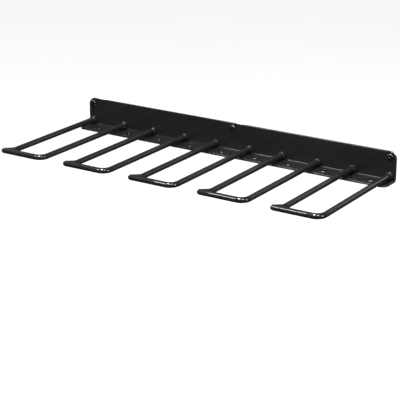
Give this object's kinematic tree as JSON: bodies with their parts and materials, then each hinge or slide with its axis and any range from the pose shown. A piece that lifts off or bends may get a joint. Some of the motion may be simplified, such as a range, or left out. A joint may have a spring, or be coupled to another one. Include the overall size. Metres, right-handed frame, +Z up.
{
  "type": "wall mounted power tool organizer",
  "caption": "Wall-mounted black steel rack: a bent back plate with closed rod hooks that hold power tools between them, and a flange with holes for screwdrivers.",
  "frame": {"origin": "centre of the back plate's wall side, midway along its length and its height", "axes": "+X along the rack, to the right of a viewer who faces the wall, +Y into the wall, +Z up"},
  "size_m": [0.5194, 0.2333, 0.0426],
  "materials": {
    "black_coat": "gloss black powder coat on steel",
    "black_screw": "black oxide steel, satin",
    "zinc": "zinc plated steel",
    "pale_nylon": "matt natural nylon"
  },
  "bodies": {
    "root": {"back_plate": "black_coat", "hook_1": "black_coat", "hook_1_left_collar": "black_coat", "hook_1_left_screw": "zinc", "hook_1_right_collar": "black_coat", "hook_1_right_screw": "zinc", "hook_2": "black_coat", "hook_2_left_collar": "black_coat", "hook_2_left_screw": "zinc", "hook_2_right_collar": "black_coat", "hook_2_right_screw": "zinc", "hook_3": "black_coat", "hook_3_left_collar": "black_coat", "hook_3_left_screw": "zinc", "hook_3_right_collar": "black_coat", "hook_3_right_screw": "zinc", "hook_4": "black_coat", "hook_4_left_collar": "black_coat", "hook_4_left_screw": "zinc", "hook_4_right_collar": "black_coat", "hook_4_right_screw": "zinc", "hook_5": "black_coat", "hook_5_left_collar": "black_coat", "hook_5_left_screw": "zinc", "hook_5_right_collar": "black_coat", "hook_5_right_screw": "zinc", "wall_screw_left": "black_screw", "wall_plug_left": "pale_nylon", "wall_screw_middle": "black_screw", "wall_plug_middle": "pale_nylon", "wall_screw_right": "black_screw", "wall_plug_right": "pale_nylon"}
  },
  "joints": []
}
